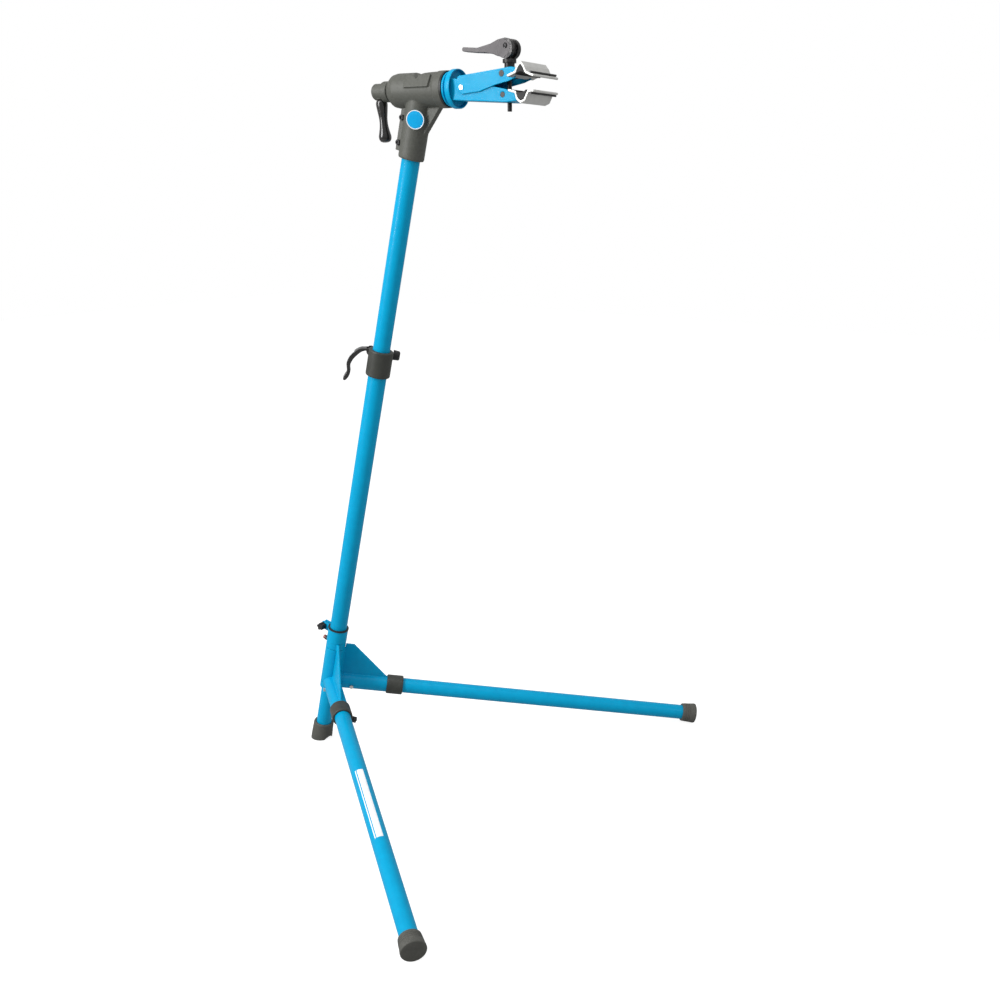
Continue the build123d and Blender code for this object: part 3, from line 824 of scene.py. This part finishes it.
def socket_head(where, radius, height, key):
    """Head of a socket screw that stands on Z = 0."""
    outline = [(0, 0), (radius, 0), (radius, height - 0.7), (radius - 0.7, height), (key, height),
               (key, height - 2.2), (0, height - 2.4)]
    bm = turn_outline(outline, Matrix.Identity(4), steps=48)
    for vert in bm.verts:
        reach = vert.co.xy.length
        if 0.1 * MM < reach < 1.01 * key * MM and vert.co.z > 0.5 * MM:
            vert.co.xy *= hexagon_radius(math.atan2(vert.co.y, vert.co.x), key) * MM / reach
    bmesh.ops.transform(bm, matrix=where, verts=bm.verts)
    return bm


# %% [markdown]
# Nut and assembly
#
# A nut is a six-sided cone of equal ends with its edges taken off. Head, nut and shank stay three closed
# shells, and one piece holds them, because nobody can pull them apart.


# %% Pinch screws
PINCH_DROPS = (98, 54)
EAR_BACK, EAR_HALF = -28, 9
SHANK = [(0, -18.5), (3, -18.5), (3, 0.5), (0, 0.5)]


def join(parts):
    """Put several bmeshes into one."""
    whole = bmesh.new()
    for part in parts:
        mesh = bpy.data.meshes.new("part")
        part.to_mesh(mesh)
        part.free()
        whole.from_mesh(mesh)
        bpy.data.meshes.remove(mesh)
    return whole


def hexagon_nut(where, corner, height):
    """Nut with its edges taken off, standing on Z = 0; corner is the radius to its corners."""
    bm = bmesh.new()
    bmesh.ops.create_cone(bm, cap_ends=True, segments=6, radius1=corner * MM, radius2=corner * MM,
                          depth=height * MM, matrix=Matrix.Translation((0, 0, height * MM / 2)))
    bevel_sharp(bm, 0.5)
    bmesh.ops.transform(bm, matrix=where, verts=bm.verts)
    return bm


def make_pinch_screws():
    parts = []
    for drop in PINCH_DROPS:
        along = HEAD_AT - drop
        out = place(mast @ (Vector((EAR_BACK, -EAR_HALF, along)) * MM), (0, -1, 0), (1, 0, 0))
        back = place(mast @ (Vector((EAR_BACK, EAR_HALF, along)) * MM), (0, 1, 0), (1, 0, 0))
        parts += [socket_head(out, 5.0, 4.0, 2.6), hexagon_nut(back, 5.2, 4.0)]
        parts.append(turn_outline(SHANK, out, steps=32))
    add_piece("pinch_screws", join(parts), "upper_mast", "black_steel", replaced=["head_pinch_bolts"])


make_pinch_screws()

# %% [markdown]
# Quick-release lever
#
# The lever's blade is a thick curved grip, fullest where a palm pulls it and waisted near its tip. A curve
# with a bevel would be round in section, and this blade is flat. So one line runs down its middle, the
# outline keeps a given distance from that line on both sides, and the outline is extruded across the width
# of the lever and rounded.

# %% Lever blade
LEVER_TURN = math.radians(128)
LEVER_PIN = Vector((33, 21, 786)) * MM
lever_at = mast @ Matrix.Rotation(LEVER_TURN, 4, "Z") @ Matrix.Translation(LEVER_PIN)
BLADE_LINE = [(13, 1.6), (19, -0.4), (27, -7), (36, -19), (40.6, -32), (40, -42), (38.4, -51),
              (41, -59.5), (45, -68)]
BLADE_HALF = [2.6, 3.4, 4.3, 4.6, 4.2, 3.3, 3.4, 4.2, 3.4]
BLADE_WIDTH = 17.0


def offset_line(line, halves):
    """Points beside a line, each at its own distance to the left of the way it runs."""
    beside = []
    for i, point in enumerate(line):
        way = (Vector(line[min(i + 1, len(line) - 1)]) - Vector(line[max(i - 1, 0)])).normalized()
        beside.append(Vector(point) + Vector((-way.y, way.x)) * halves[i])
    return beside


def make_blade(middle, halves):
    bm = bmesh.new()
    around = offset_line(middle, halves) + offset_line(middle, [-h for h in halves])[::-1]
    face = bm.faces.new([bm.verts.new(Vector((-BLADE_WIDTH / 2, p.x, p.y)) * MM) for p in around])
    grown = bmesh.ops.extrude_face_region(bm, geom=[face])["geom"]
    side = [item for item in grown if isinstance(item, bmesh.types.BMVert)]
    bmesh.ops.translate(bm, vec=(BLADE_WIDTH * MM, 0, 0), verts=side)
    bmesh.ops.recalc_face_normals(bm, faces=bm.faces)
    bevel_sharp(bm, 1.6, segments=4, limit=50)
    bmesh.ops.transform(bm, matrix=lever_at, verts=bm.verts)
    add_piece("lever_blade", bm, "height_lever", "handle_black")


blade_middle = smooth_outline(BLADE_LINE, 4)
blade_halves = [p[1] for p in smooth_outline([(i, half) for i, half in enumerate(BLADE_HALF)], 4)]
make_blade(blade_middle, blade_halves)

# %% [markdown]
# Lever label
#
# A pale label, left blank, lies along the outer curve of the blade. It follows the same middle line, a little
# further out, so it needs no fitting: a run of edges is extruded into a ribbon and given a film's thickness.

# %% Lever label
LABEL_SPAN = slice(9, 21)
LABEL_WIDTH = 10.0
LABEL_LIFT = 0.15
LABEL_FILM = 0.3


def make_label(outer):
    bm = bmesh.new()
    line = [bm.verts.new(Vector((-LABEL_WIDTH / 2, p.x, p.y)) * MM) for p in outer]
    edges = [bm.edges.new(pair) for pair in zip(line, line[1:])]
    grown = bmesh.ops.extrude_edge_only(bm, edges=edges)["geom"]
    side = [item for item in grown if isinstance(item, bmesh.types.BMVert)]
    bmesh.ops.translate(bm, vec=(LABEL_WIDTH * MM, 0, 0), verts=side)
    bmesh.ops.recalc_face_normals(bm, faces=bm.faces)
    bmesh.ops.solidify(bm, geom=bm.faces[:], thickness=LABEL_FILM * MM)
    bmesh.ops.recalc_face_normals(bm, faces=bm.faces)
    bmesh.ops.transform(bm, matrix=lever_at, verts=bm.verts)
    add_piece("lever_label", bm, "height_lever", "white_vinyl")


make_label(offset_line(blade_middle, [half + LABEL_LIFT for half in blade_halves])[LABEL_SPAN])

# %% [markdown]
# Cam pin
#
# The pin that the cam lever turns on ends in slightly domed faces inside a shallow ring, and shows dark there. The
# CAD pin stays as it is. Two small turned caps on its ends are enough, one for each side, in one piece. Their
# black is painted shade: it stands for the dark recess round each end of the pin, not for the colour of the pin.

# %% Cam pin caps, black as painted shade
CAM = Vector(joints["cam_swing"]["pos_m"])
CAP = [(0, -0.5), (4, -0.5), (4, 0.25), (3.5, 0.5), (3.0, 0.2), (1.6, 0.45), (0, 0.55)]
CAP_REACH = 14.6


def make_pin_shade_caps():
    shade_caps = []
    for side in (-1, 1):
        where = place(CAM + Vector((0, CAP_REACH * side * MM, 0)), (0, side, 0), (1, 0, 0))
        shade_caps.append(turn_outline(CAP, where, steps=40))
    # The black steel of these caps is painted shade for the recess at the pin's ends.
    add_piece("cam_pin_shade_caps", join(shade_caps), "clamp_rod", "black_steel")


make_pin_shade_caps()
